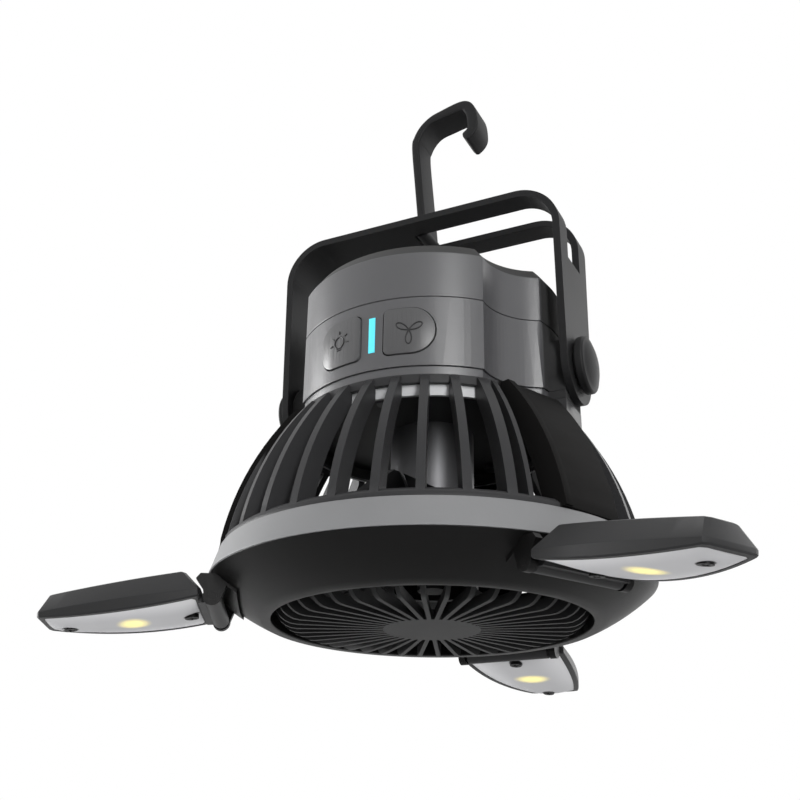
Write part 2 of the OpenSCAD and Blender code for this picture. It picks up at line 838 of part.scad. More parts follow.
module lamp_board() {
    hole_r = screw_head_r + screw_boss_wall + shell_gap;
    board_in = lamp_wall + 1.2;
    difference() {
        translate([0, 0, board_bottom])
            linear_extrude(lamp_board_t)
                lamp_plan(board_in + 0.4, lamp_start + board_in, lamp_len - board_in - end_step);
        for (s = [screw_in_s, screw_out_s])
            translate([s, 0, board_bottom - over])
                cylinder(r = hole_r, h = lamp_board_t + 2 * over, $fn = 48);
    }
    translate([diode_s, 0, lens_bottom + diode_sink])
        cylinder(r = diode_r, h = board_bottom - lens_bottom - diode_sink, $fn = 48);
}

module lamp_screws() {
    for (s = [screw_in_s, screw_out_s])
        translate([s, 0, lens_bottom])
            difference() {
                union() {
                    cylinder(r = screw_head_r, h = screw_head_h, $fn = 48);
                    cylinder(r = screw_r, h = lens_t + screw_grip, $fn = 48);
                }
                for (turn = [0, 90])
                    rotate([0, 0, turn])
                        translate([0, 0, slot_depth - over / 2])
                            cube([slot_len, slot_w, over], center = true);
            }
}

module left_lamp_back() { color([0.25, 0.25, 0.26]) at_lamp(lamp_angles[0]) lamp_back(); }
module left_lamp_lens() { color([0.9, 0.9, 0.92]) at_lamp(lamp_angles[0]) lamp_lens(); }
module left_lamp_board() { color([0.95, 0.9, 0.6]) at_lamp(lamp_angles[0]) lamp_board(); }
module left_lamp_screws() { color([0.5, 0.5, 0.5]) at_lamp(lamp_angles[0]) lamp_screws(); }
module right_lamp_back() { color([0.25, 0.25, 0.26]) at_lamp(lamp_angles[1]) lamp_back(); }
module right_lamp_lens() { color([0.9, 0.9, 0.92]) at_lamp(lamp_angles[1]) lamp_lens(); }
module right_lamp_board() { color([0.95, 0.9, 0.6]) at_lamp(lamp_angles[1]) lamp_board(); }
module right_lamp_screws() { color([0.5, 0.5, 0.5]) at_lamp(lamp_angles[1]) lamp_screws(); }
module rear_lamp_back() { color([0.25, 0.25, 0.26]) at_lamp(lamp_angles[2]) lamp_back(); }
module rear_lamp_lens() { color([0.9, 0.9, 0.92]) at_lamp(lamp_angles[2]) lamp_lens(); }
module rear_lamp_board() { color([0.95, 0.9, 0.6]) at_lamp(lamp_angles[2]) lamp_board(); }
module rear_lamp_screws() { color([0.5, 0.5, 0.5]) at_lamp(lamp_angles[2]) lamp_screws(); }

module lamp_hinge_brackets() {
    lug = [[-1.35 * lug_r, lug_r], [-0.8 * lug_r, -0.5 * lug_r], [0.92 * lug_r, 0.2 * lug_r],
        [1.05 * lug_r, 0.76 * lug_r], [1.84 * lug_r, 1.84 * lug_r], [1.4 * lug_r, 2.4 * lug_r],
        [-1.35 * lug_r, 2.4 * lug_r]];
    color([0.55, 0.56, 0.57])
    difference() {
        for (angle = lamp_angles)
            rotate([0, 0, angle])
                difference() {
                    union() {
                        for (side = [-1, 1])
                            translate([hinge_r, side * (lug_half - lug_t / 2), hinge_z]) {
                                rotate([90, 0, 0])
                                    cylinder(r = lug_r, h = lug_t, center = true, $fn = 64);
                                upright(lug, lug_t);
                            }
                        intersection() {
                            upright([[hinge_r - hinge_bar[0], 0], [hinge_r - hinge_bar[1], 0],
                                [hinge_r - hinge_bar[1], ring_z], [hinge_r - hinge_bar[0], ring_z]],
                                2 * lug_half);
                            rotate_extrude()
                                polygon(concat([[0, 0], [0, ring_z]],
                                    [for (p = bowl_line) p + bar_drop]));
                        }
                    }
                    translate([hinge_r, 0, hinge_z])
                        rotate([90, 0, 0])
                            cylinder(r = pin_r + seat_gap, h = 2 * lug_half + over, center = true, $fn = 64);
                }
        bowl_solid();
    }
}

module lamp_pins() {
    color([0.7, 0.7, 0.72])
    for (angle = lamp_angles)
        rotate([0, 0, angle])
            translate([hinge_r, 0, hinge_z])
                rotate([90, 0, 0])
                    cylinder(r = pin_r, h = 2 * lug_half, center = true, $fn = 64);
}

// Front view of the bracket: a strap bent over with two round corners, drawn in by the given amount.
module arch_plan(inset, bottom) {
    w = arm_out - inset;
    top = bracket_top_z - inset;
    r = corner_r - inset;
    translate([-w, bottom])
        square([2 * w, top - r - bottom]);
    translate([-w + r, top - r - eps])
        square([2 * (w - r), r + eps]);
    for (x = [-w + r, w - r])
        translate([x, top - r])
            circle(r);
}

module bracket() {
    low_z = pivot_z - strap_half_low;
    window_half = hook_w / 2 + move_gap;
    window_low = hook_z - nose_reach - hook_t - move_gap;
    color([0.22, 0.22, 0.23])
    difference() {
        intersection() {
            rotate([90, 0, 0])
                translate([0, 0, -ring_r])
                    linear_extrude(2 * ring_r)
                        difference() {
                            arch_plan(0, low_z);
                            arch_plan(strap_t, low_z - over);
                        }
            union() {
                translate([-ring_r, 0, pivot_z])
                    rotate([0, 90, 0])
                        cylinder(r = strap_half_low, h = 2 * ring_r);
                translate([-ring_r, 0, 0])
                    rotate([90, 0, 90])
                        linear_extrude(2 * ring_r)
                            polygon([[-strap_half_low, pivot_z], [strap_half_low, pivot_z],
                                [strap_half_top, bracket_top_z + over],
                                [-strap_half_top, bracket_top_z + over]]);
            }
        }
        for (side = [-1, 1])
            translate([side * (arm_in - over), 0, pivot_z])
                rotate([0, side * 90, 0])
                    cylinder(r = stud_r + bore_gap, h = strap_t + 2 * over, $fn = 64);
        translate([hook_x - barrel_r - move_gap, -window_half, window_low])
            cube([arm_out * 2, 2 * window_half, bracket_top_z - window_low + over]);
        translate([hook_x, 0, hook_z])
            rotate([90, 0, 0])
                cylinder(r = hook_pin_r + seat_gap, h = hook_w + 2 * hook_pin_hold, center = true, $fn = 48);
    }
}

// Middle line of the hook strap, from the pin to the nose.
function hook_path() = let (shoulder = [shoulder_r - neck_lean, neck_h],
        crown = [nose_reach - 2, neck_h + shoulder_r + 1], nose = [nose_reach, crown[1] - 2.1])
    concat([[0, 0], [-neck_lean * 0.55, neck_h * 0.54]],
        [for (a = [180:-10:100]) shoulder + shoulder_r * [cos(a), sin(a)]],
        [crown, nose, [nose_reach + 0.5, crown[1] - mouth_drop + 2],
            [nose_reach, crown[1] - mouth_drop], [nose_reach - 2.2, crown[1] - mouth_drop - 1.6]]);

// Points of a strip of the given half width along a path of points.
function strip(path, half) = let (last = len(path) - 1,
        sides = [for (i = [0:last]) let (d = path[min(i + 1, last)] - path[max(i - 1, 0)])
            half * [-d[1], d[0]] / norm(d)])
    concat([for (i = [0:last]) path[i] + sides[i]], [for (i = [last:-1:0]) path[i] - sides[i]]);

module hook() {
    color([0.22, 0.22, 0.23])
    translate([hook_x, 0, hook_z])
        rotate([90, 0, 0])
            translate([0, 0, -hook_w / 2])
                difference() {
                    union() {
                        linear_extrude(hook_w)
                            polygon(strip(hook_path(), hook_t / 2));
                        cylinder(r = barrel_r, h = hook_w, $fn = 64);
                    }
                    translate([0, 0, -over])
                        cylinder(r = hook_pin_r + bore_gap, h = hook_w + 2 * over, $fn = 48);
                }
}

module hook_pin() {
    color([0.7, 0.7, 0.72])
    translate([hook_x, 0, hook_z])
        rotate([90, 0, 0])
            cylinder(r = hook_pin_r, h = hook_w + 2 * hook_pin_hold - 2 * seat_gap, center = true, $fn = 48);
}

// Places a child that points along z on both pivots, pointing outwards from the middle.
module at_pivots() {
    for (side = [-1, 1])
        translate([0, 0, pivot_z])
            rotate([0, side * 90, 0])
                children();
}

module pivot_studs() {
    color([0.7, 0.7, 0.72])
    at_pivots()
        translate([0, 0, stud_in])
            cylinder(r = stud_r, h = cap_in + cap_rim_t - 0.6 - stud_in, $fn = 64);
}

module pivot_washers() {
    color([0.15, 0.15, 0.15])
    at_pivots()
        translate([0, 0, washer_in])
            difference() {
                cylinder(r = washer_r, h = washer_t, $fn = 64);
                translate([0, 0, -over])
                    cylinder(r = stud_r + bore_gap, h = washer_t + 2 * over, $fn = 64);
            }
}

module pivot_caps() {
    dome_r = (cap_r * cap_r * 0.81 + cap_dome * cap_dome) / (2 * cap_dome);
    color([0.22, 0.22, 0.23])
    at_pivots()
        translate([0, 0, cap_in])
            difference() {
                union() {
                    rotate_extrude()
                        polygon([[0, 0], [cap_r, 0], [cap_r, cap_rim_t - 0.4], [cap_r - 0.4, cap_rim_t],
                            [0, cap_rim_t]]);
                    intersection() {
                        translate([0, 0, cap_rim_t + cap_dome - dome_r])
                            sphere(dome_r);
                        translate([0, 0, cap_rim_t - eps])
                            cylinder(r = cap_r * 0.9, h = cap_dome + 1);
                    }
                }
                translate([0, 0, -over])
                    cylinder(r = stud_r + seat_gap, h = cap_rim_t - 0.6 + over, $fn = 64);
            }
}

// A button: its cap, the flange behind the wall and the stem that meets the switch.
module button(kind, side) {
    stem_in = flange_in - stem_reach;
    at_button(side) {
        intersection() {
            translate([0, 0, flange_in])
                linear_extrude(lobe_r + button_out + over - flange_in)
                    button_outline(kind, 0);
            rotate([90, 0, 0])
                cylinder(r = lobe_r + button_out, h = 2 * button_h, center = true);
        }
        intersection() {
            translate([0, 0, flange_in])
                linear_extrude(flange_t + over)
                    button_outline(kind, flange_out);
            rotate([90, 0, 0])
                cylinder(r = lobe_r - wall - move_gap, h = 2 * button_h, center = true);
        }
        translate([0, 0, stem_in])
            cylinder(r = plunger_r, h = stem_reach + flange_t / 2, $fn = 48);
    }
}

module light_button() { color([0.3, 0.3, 0.31]) button("light", -1); }
module fan_button() { color([0.3, 0.3, 0.31]) button("fan", 1); }

module indicator_lens() {
    color([0.35, 0.9, 0.95])
    at_button(0)
        intersection() {
            translate([-indicator_w / 2, -indicator_h / 2, lobe_r - wall - flange_out])
                cube([indicator_w, indicator_h, wall + flange_out + over]);
            rotate([90, 0, 0])
                cylinder(r = lobe_r + 0.1, h = 2 * indicator_h, center = true);
        }
}

module control_board() {
    color([0.1, 0.35, 0.2])
    translate([-control_half, control_y - board_t, housing_z])
        cube([2 * control_half, board_t, button_z + button_h / 2 - housing_z]);
}

module button_switches() {
    reach = (flange_in - stem_reach) * cos(button_angle) - button_travel - stem_gap;
    board_face = control_y - board_t;
    color([0.15, 0.15, 0.16])
    for (side = [-1, 1])
        translate([side * (reach + stem_gap) * tan(button_angle), 0, button_z]) {
            translate([-switch_w / 2, board_face - switch_h, -switch_w / 2])
                cube([switch_w, switch_h, switch_w]);
            translate([0, board_face - switch_h + eps, 0])
                rotate([90, 0, 0])
                    cylinder(r = plunger_r, h = reach + board_face - switch_h + eps, $fn = 48);
        }
}

module battery_cell() {
    color([0.25, 0.4, 0.7])
    translate([-cell_len / 2, cell_y, cell_z])
        rotate([0, 90, 0])
            cylinder(r = cell_r, h = cell_len);
}

module battery_holder() {
    tray_len = cell_len + 2 * contact_t + 2 * tray_t;
    color([0.12, 0.12, 0.12])
    difference() {
        union() {
            translate([-tray_len / 2, cell_y - 0.8 * cell_r, housing_z])
                cube([tray_len, 1.6 * cell_r, tray_t]);
            for (side = [-1, 1]) {
                translate([side * (tray_len - tray_t) / 2 - tray_t / 2, cell_y - 0.7 * cell_r, housing_z])
                    cube([tray_t, 1.4 * cell_r, tray_t + 1.5 * cell_r]);
                translate([-0.35 * cell_len, cell_y + side * 0.7 * cell_r - tray_t / 2, housing_z])
                    cube([0.7 * cell_len, tray_t, tray_t + 0.6 * cell_r]);
            }
        }
        translate([-cell_len / 2 - contact_t, cell_y, cell_z])
            rotate([0, 90, 0])
                cylinder(r = cell_r + seat_gap, h = cell_len + 2 * contact_t);
    }
}

module battery_contacts() {
    color([0.8, 0.75, 0.6])
    for (side = [-1, 1])
        translate([side * (cell_len + contact_t) / 2, cell_y, cell_z])
            rotate([0, 90, 0])
                cylinder(r = 0.45 * cell_r, h = contact_t - 2 * seat_gap, center = true);
}

module fan_wheel() {
    color([0.62, 0.63, 0.64])
    difference() {
        union() {
            translate([0, 0, wheel_z])
                cylinder(r = wheel_hub_r, h = wheel_h);
            intersection() {
                for (i = [0:blade_count - 1])
                    rotate([0, 0, i * 360 / blade_count])
                        translate([wheel_hub_r - 1, 0, wheel_z + wheel_h / 2])
                            rotate([blade_pitch, 0, 0])
                                translate([0, -2 * wheel_h, -blade_t / 2])
                                    cube([wheel_r, 4 * wheel_h, blade_t]);
                difference() {
                    translate([0, 0, wheel_z])
                        cylinder(r = wheel_r, h = wheel_h - 1);
                    translate([0, 0, wheel_z - over])
                        cylinder(r = wheel_hub_r - 0.5, h = wheel_h + 2 * over);
                }
                for (i = [0:blade_count - 1])
                    rotate([0, 0, (i - 0.49) * 360 / blade_count])
                        rotate_extrude(angle = 0.98 * 360 / blade_count)
                            translate([wheel_hub_r - 0.6, 0])
                                square([wheel_r, wheel_z + wheel_h + over]);
            }
        }
        translate([0, 0, wheel_z + 2])
            cylinder(r = shaft_r + seat_gap, h = wheel_h, $fn = 64);
        translate([0, 0, wheel_z - over])
            difference() {
                cylinder(r = wheel_hub_r - 1.6, h = wheel_h / 2);
                translate([0, 0, -over])
                    cylinder(r = shaft_r + 2, h = wheel_h);
            }
    }
}

module motor_shaft() {
    color([0.75, 0.75, 0.76])
    translate([0, 0, wheel_z + 2 + seat_gap])
        cylinder(r = shaft_r, h = housing_z - wheel_z - 2 - seat_gap, $fn = 64);
}

module motor_can() {
    color([0.7, 0.7, 0.71])
    difference() {
        translate([0, 0, motor_z])
            cylinder(r = motor_r, h = motor_h);
        translate([0, 0, motor_z - over])
            cylinder(r = motor_r - can_t, h = motor_h - can_t + over);
        translate([0, 0, motor_z])
            cylinder(r = bearing_r + seat_gap, h = motor_h + over, $fn = 64);
    }
}

module motor_end_cap() {
    color([0.15, 0.15, 0.15])
    difference() {
        union() {
            translate([0, 0, motor_z - end_cap_t])
                cylinder(r = motor_r + end_cap_step, h = end_cap_t);
            translate([0, 0, motor_z - eps])
                cylinder(r = motor_r - can_t - seat_gap, h = bearing_t + eps);
        }
        translate([0, 0, motor_z - end_cap_t - over])
            cylinder(r = shaft_r + 2 * bore_gap, h = 2 * end_cap_t + bearing_t + 2 * over, $fn = 64);
        translate([0, 0, motor_z])
            cylinder(r = bearing_r + seat_gap, h = bearing_t + over, $fn = 64);
    }
}

module motor_bearings() {
    color([0.8, 0.8, 0.82])
    for (z = [motor_z + seat_gap, deck_z - can_t])
        translate([0, 0, z])
            difference() {
                cylinder(r = bearing_r, h = bearing_t, $fn = 64);
                translate([0, 0, -over])
                    cylinder(r = shaft_r + bore_gap, h = bearing_t + 2 * over, $fn = 64);
            }
}

module motor_armature() {
    low = motor_z + bearing_t + move_gap;
    high = deck_z - can_t - move_gap;
    color([0.7, 0.4, 0.2])
    difference() {
        union() {
            translate([0, 0, low])
                cylinder(r = shaft_r + 1.6, h = high - low);
            for (i = [0:2])
                rotate([0, 0, i * 120])
                    intersection() {
                        translate([0, -0.3 * armature_r, low + 1])
                            cube([armature_r, 0.6 * armature_r, high - low - 2]);
                        cylinder(r = armature_r, h = housing_z);
                    }
        }
        translate([0, 0, low - over])
            cylinder(r = shaft_r + seat_gap, h = high - low + 2 * over, $fn = 64);
    }
}

module motor_magnets() {
    outer = motor_r - can_t - seat_gap;
    color([0.3, 0.3, 0.33])
    for (turn = [0, 180])
        rotate([0, 0, turn - 60])
            translate([0, 0, motor_z + bearing_t + move_gap])
                rotate_extrude(angle = 120)
                    translate([outer - magnet_t, 0])
                        square([magnet_t, motor_h - bearing_t - can_t - 2 * move_gap]);
}

housing_cap();
housing_body();
lower_collar();
deck();
slat_cage();
ring_band();
bottom_ring();
front_grille();
lamp_hinge_brackets();
lamp_pins();
left_lamp_back();
left_lamp_lens();
left_lamp_board();
left_lamp_screws();
right_lamp_back();
right_lamp_lens();
right_lamp_board();
right_lamp_screws();
rear_lamp_back();
rear_lamp_lens();
rear_lamp_board();
rear_lamp_screws();
bracket();
hook();
hook_pin();
pivot_studs();
pivot_caps();
pivot_washers();
light_button();
fan_button();
indicator_lens();
charging_socket();
charging_board();
control_board();
button_switches();
battery_cell();
battery_holder();
battery_contacts();
case_screws();
fan_wheel();
motor_shaft();
motor_can();
motor_end_cap();
motor_bearings();
motor_armature();
motor_magnets();
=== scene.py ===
import json
import math

import bmesh
import bpy
import numpy as np
from mathutils import Matrix, Vector

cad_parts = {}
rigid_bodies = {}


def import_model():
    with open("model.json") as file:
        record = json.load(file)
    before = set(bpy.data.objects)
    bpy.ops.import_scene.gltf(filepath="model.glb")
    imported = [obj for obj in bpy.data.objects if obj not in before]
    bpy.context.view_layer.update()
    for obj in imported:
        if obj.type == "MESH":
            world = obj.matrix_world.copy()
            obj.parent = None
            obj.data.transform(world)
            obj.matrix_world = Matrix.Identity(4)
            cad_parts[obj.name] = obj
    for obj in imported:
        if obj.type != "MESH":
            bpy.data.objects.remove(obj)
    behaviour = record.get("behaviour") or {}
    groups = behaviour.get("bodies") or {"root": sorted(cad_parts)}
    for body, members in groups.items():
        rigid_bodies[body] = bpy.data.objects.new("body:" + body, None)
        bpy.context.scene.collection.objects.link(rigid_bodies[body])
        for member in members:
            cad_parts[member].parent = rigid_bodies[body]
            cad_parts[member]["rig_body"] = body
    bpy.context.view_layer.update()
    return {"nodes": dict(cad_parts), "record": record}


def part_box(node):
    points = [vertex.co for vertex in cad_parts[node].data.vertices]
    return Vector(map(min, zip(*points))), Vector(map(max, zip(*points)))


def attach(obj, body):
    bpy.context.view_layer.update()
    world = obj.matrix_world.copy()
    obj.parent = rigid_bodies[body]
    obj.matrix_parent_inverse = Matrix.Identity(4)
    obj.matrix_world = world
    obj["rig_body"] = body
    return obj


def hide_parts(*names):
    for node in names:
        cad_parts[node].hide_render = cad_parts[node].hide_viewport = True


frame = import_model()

MM = 0.001

# Lamps, in millimetres and degrees: where each one points, the place (radius, height) of its hinge pin and
# its droop. Along itself, a lamp tapers over LAMP_SPAN from LAMP_START.
LAMP_ANGLES = {"left": 210, "right": 330, "rear": 90}
LAMP_FOOT = (43.7, 2.9)
DROOP = 7.4
LAMP_START, LAMP_END, LAMP_SPAN = 2.1, 34.0, 32.4
DIODE_AT = 16.6
SCREWS_AT = (5.1, 29.1)
BARREL_R, BARREL_HALF = 1.7, 10.2
LENS_START, LENS_END, LENS_INSET, LENS_TOP = 3.45, 33.1, 1.35, 0.6

# Housing, in millimetres: the radius of its round front, the buttons' height and their half angle
FRONT_R = 29.4
BUTTON_Z = 53.7
BUTTON_ANGLE = 15.4
# Hook, in millimetres: its pin in X and Z, and half the strap's width
HOOK_PIN = (-1.1, 92.9)
STRAP_HALF = 3.72

# Masks of painted shade, in metres: the cap's chamfer lies above CHAMFER_Z, and the housing's sides past
# SIDE_X, painted as in shade. A cage panel, also painted in shade, is turned by PANEL_TURN degrees from its
# lamp.
CHAMFER_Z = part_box("housing_cap")[1][2] - 0.0029
SIDE_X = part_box("housing_cap")[1][0] - 0.00105
PANEL_TURN = 6
PANEL_HALF = 0.0076

# Moulded plastic, in metres: the size of its clouding and of its grain, and the grain's depth
CLOUD, GRAIN, GRAIN_DEPTH = 0.02, 0.00018, 0.00002


# ---------------------------------------------------------------- shader arithmetic

class Wire:
    """An output socket. Its + - * / ** and abs() add Math nodes, so a mask is written as an expression."""

    def __init__(self, shader, socket):
        self.shader, self.socket = shader, socket

    def maths(self, operation, *values):
        return self.shader.node("Math", {"operation": operation}, dict(enumerate(values)))

    def __add__(self, other):
        return self.maths("ADD", self, other)

    def __sub__(self, other):
        return self.maths("SUBTRACT", self, other)

    def __rsub__(self, other):
        return self.maths("SUBTRACT", other, self)

    def __mul__(self, other):
        return self.maths("MULTIPLY", self, other)

    def __truediv__(self, other):
        return self.maths("DIVIDE", self, other)

    def __pow__(self, other):
        return self.maths("POWER", self, other)

    def __abs__(self):
        return self.maths("ABSOLUTE", self)

    __radd__, __rmul__ = __add__, __mul__

    def larger(self, other):
        """The larger of the two."""
        return self.maths("MAXIMUM", self, other)

    def ramp(self, low, high):
        """0 below low, 1 above high and a smooth step between them."""
        return self.shader.node("MapRange", {"interpolation_type": "SMOOTHSTEP"},
                                {"Value": self, "From Min": low, "From Max": high})


class Shader:
    """A material being built. node() is the one way in which a node is added."""

    def __init__(self, name, owner=None):
        self.material = owner or bpy.data.materials.new(name)
        self.material.use_nodes = True
        self.tree = self.material.node_tree
        self.tree.nodes.clear()
        self.place = self.node("TexCoord", output="Object")

    def node(self, kind, settings=(), sockets=(), output=0):
        """Adds one node: its settings first, then the values or links of its sockets."""
        made = self.tree.nodes.new("ShaderNode" + kind)
        for key, value in dict(settings).items():
            setattr(made, key, value)
        for key, value in dict(sockets).items():
            if isinstance(value, Wire):
                self.tree.links.new(value.socket, made.inputs[key])
            else:
                made.inputs[key].default_value = value
        return Wire(self, made.outputs[output]) if made.outputs else None

    def noise(self, size, detail=2.0, rough=0.5):
        """Noise from 0 to 1 whose blobs are about the given size in metres."""
        return self.node("TexNoise", {}, {"Vector": self.place, "Scale": 1 / size, "Detail": detail,
                                          "Roughness": rough})

    def grain(self):
        """The fine speckle of a spark-eroded mould."""
        return self.noise(GRAIN, 2.0, 0.7)

    def axes(self, vector=None):
        """The three parts of a vector, by default of the Object coordinates."""
        return [self.node("SeparateXYZ", {}, {0: vector or self.place}, i) for i in range(3)]

    def blend(self, mask, low, high):
        """A colour from low to high as the mask goes from 0 to 1."""
        mixed = {"data_type": "RGBA"}
        return self.node("Mix", mixed, {0: mask, 6: colour(low), 7: colour(high)}, 2)

    def bump(self, height, depth):
        """A normal raised by height times depth, in metres."""
        return self.node("Bump", {}, {"Height": height, "Distance": depth, "Strength": 1.0})

    def surface(self, **sockets):
        """Ends the material in one Principled shader; an underscore in a name stands for a space."""
        named = {key.replace("_", " "): value for key, value in sockets.items()}
        self.end(self.node("BsdfPrincipled", {}, named))
        return self.material

    def end(self, shader):
        """Links the finished shader to the material's output."""
        self.node("OutputMaterial", {}, {"Surface": shader})


def colour(value):
    """A link, a grey number or an (r, g, b) triple as what a colour socket wants."""
    if isinstance(value, Wire):
        return value
    red, green, blue = (value,) * 3 if isinstance(value, (int, float)) else value
    return (red, green, blue, 1.0)


# ---------------------------------------------------------------- finishes

def varied(rough, cloud):
    """A roughness that varies a little with the clouding."""
    return rough + (cloud - 0.5) * 0.08


def moulded_plastic(name, shade, rough, gloss=0.3):
    """Moulded plastic: a fine spark-eroded grain, faint clouding and a roughness that varies a little."""
    s = Shader(name)
    cloud, speck = s.noise(CLOUD, 3.0), s.grain()
    base = s.blend(cloud * 0.6 + speck * 0.4, [c * 0.88 for c in shade], [c * 1.14 for c in shade])
    return s.surface(Base_Color=base, Roughness=varied(rough, cloud), Specular_IOR_Level=gloss,
                     Normal=s.bump(speck, GRAIN_DEPTH))


def plastic_with_painted_shade(s, mask, plain, dark, rough, dull, gloss):
    """Moulded plastic between the two plain shades, with painted shade where the mask is 1: there it lies
    between the two dark ones and is duller."""
    cloud, speck = s.noise(CLOUD, 3.0), s.grain()
    base = s.blend(mask, s.blend(cloud * 0.6 + speck * 0.4, *plain), s.blend(cloud, *dark))
    return s.surface(Base_Color=base, Roughness=varied(rough, cloud) + mask * dull,
                     Specular_IOR_Level=gloss, Normal=s.bump(speck, GRAIN_DEPTH))


def cage_plastic():
    """Slat grey with painted shade on the panels, each the strip |y cos a - x sin a| < PANEL_HALF on its
    own side.
    """
    s = Shader("slat_plastic")
    x, y, _ = s.axes()
    shaded_panels = 0.0
    for angle in LAMP_ANGLES.values():
        c, n = math.cos(math.radians(angle + PANEL_TURN)), math.sin(math.radians(angle + PANEL_TURN))
        own_side = (x * c + y * n).ramp(0.015, 0.018)
        strip = 1 - abs(y * c - x * n).ramp(PANEL_HALF, PANEL_HALF + 0.0003)
        shaded_panels = own_side * strip + shaded_panels
    # The near-black pair is painted shade on the panels, which are the same slat plastic
    return plastic_with_painted_shade(s, shaded_panels, ((0.027, 0.027, 0.028), (0.034, 0.034, 0.0355)),
                    ((0.0036, 0.0034, 0.0033), (0.0046, 0.0043, 0.0042)), 0.42, 0.5, 0.13)


# The housing's grey lies between these two
HOUSING_SHADES = (0.058, 0.058, 0.061), (0.075, 0.075, 0.079)


def sides_in_painted_shade(x):
    """1 on the housing's sides and on the pivot bosses, where |x| is past SIDE_X: the places that are
    painted as in shade.
    """
    return abs(x).ramp(SIDE_X, SIDE_X + 0.0003)


def body_plastic():
    """Housing grey with painted shade on its sides and pivot bosses."""
    s = Shader("body_plastic")
    x, _, _ = s.axes()
    # The dark pair is painted shade on the sides and bosses, and the higher roughness there dulls their
    # sheen
    return plastic_with_painted_shade(s, sides_in_painted_shade(x), HOUSING_SHADES, ((0.007, 0.007, 0.0074), (0.010, 0.010, 0.0105)),
                    0.3, 0.65, 0.6)


def cap_plastic():
    """Housing grey, with painted shade on the cap's sides and on its chamfer, which lies above CHAMFER_Z.
    """
    s = Shader("cap_plastic")
    x, _, z = s.axes()
    mask = sides_in_painted_shade(x).larger(z.ramp(CHAMFER_Z - 0.0001, CHAMFER_Z + 0.0002))
    # The dark pair is painted shade on the cap's sides and on its chamfer
    return plastic_with_painted_shade(s, mask, HOUSING_SHADES, ((0.009, 0.009, 0.009), (0.012, 0.012, 0.012)), 0.3, 0.55, 0.6)


def deck_plastic():
    """Dark deck whose skirt is pale grey, made paler still as painted light where the slats shade it: the
    distance from the axis, sqrt(x x + y y), picks the outer wall.
    """
    s = Shader("deck_plastic")
    x, y, _ = s.axes()
    skirt = ((x * x + y * y) ** 0.5).ramp(0.0272, 0.0278)
    cloud = s.noise(0.01, 3.0)
    dark = s.blend(cloud, (0.012, 0.012, 0.012), (0.016, 0.016, 0.016))
    # The pale skirt is light grey plastic brightened past its own grey: painted light against the slats'
    # shadow
    pale = s.blend(cloud, (0.46, 0.465, 0.475), (0.56, 0.565, 0.575))
    return s.surface(Base_Color=s.blend(skirt, dark, pale), Roughness=varied(0.5, cloud),
                     Specular_IOR_Level=0.3, Normal=s.bump(s.grain(), GRAIN_DEPTH))


def lens_plastic():
    """Milky lens: paler at its rim, with a warm oval over the diode and dark wells at the screws.
    Its attribute lamp_place holds (along, across, up) on the lamp, in millimetres."""
    s = Shader("lens_plastic")
    along, across, _ = s.axes(s.node("Attribute", {"attribute_name": "lamp_place"}, {}, 1))
    cloud = s.noise(0.03, 1.0)

    def near(at, reach, edge, wide=1.0):
        """1 within reach of a place on the middle line; the spot is wide times as broad as it is long."""
        away = ((along - at) * (along - at) + across * across / (wide * wide)) ** 0.5
        return 1 - away.ramp(reach - edge, reach + edge)

    rim = abs(across).ramp(3.0, 11.0)
    glow = near(DIODE_AT, reach=2.3, edge=1.5, wide=1.35)
    inner_well, outer_well = [near(at, reach=1.6, edge=0.2) for at in SCREWS_AT]
    wells = inner_well + outer_well
    milky = s.blend(rim * 0.8 + cloud * 0.2, (0.56, 0.56, 0.575), (0.84, 0.84, 0.86))
    base = s.blend(wells, s.blend(glow, milky, (1.0, 0.90, 0.42)), (0.02, 0.02, 0.02))
    return s.surface(Base_Color=base, Roughness=0.36 + cloud * 0.12, Specular_IOR_Level=0.3,
                     Emission_Color=s.blend(glow, 0.0, (0.62, 0.52, 0.16)), Emission_Strength=1.0,
                     Normal=s.bump(s.noise(0.0006), 0.000002))


def machined_metal(name, shade, rough=0.3):
    """Plain metal with fine streaks drawn out across Z."""
    s = Shader(name)
    stretched = s.node("Mapping", {}, {"Vector": s.place, "Scale": (1.0, 1.0, 12.0)})
    lines = s.node("TexNoise", {}, {"Vector": stretched, "Scale": 2500, "Detail": 3.0})
    base = s.blend(lines, [c * 0.8 for c in shade], shade)
    return s.surface(Base_Color=base, Metallic=1.0, Roughness=rough + lines * 0.15,
                     Normal=s.bump(lines, 0.000004))


def glowing(name, shade, strength):
    """A light that shows through plastic, clouded a little."""
    s = Shader(name)
    tone = s.blend(s.noise(0.002, 2.0), [c * 0.9 for c in shade], shade)
    return s.surface(Base_Color=tone, Emission_Color=tone, Emission_Strength=strength, Roughness=0.3)


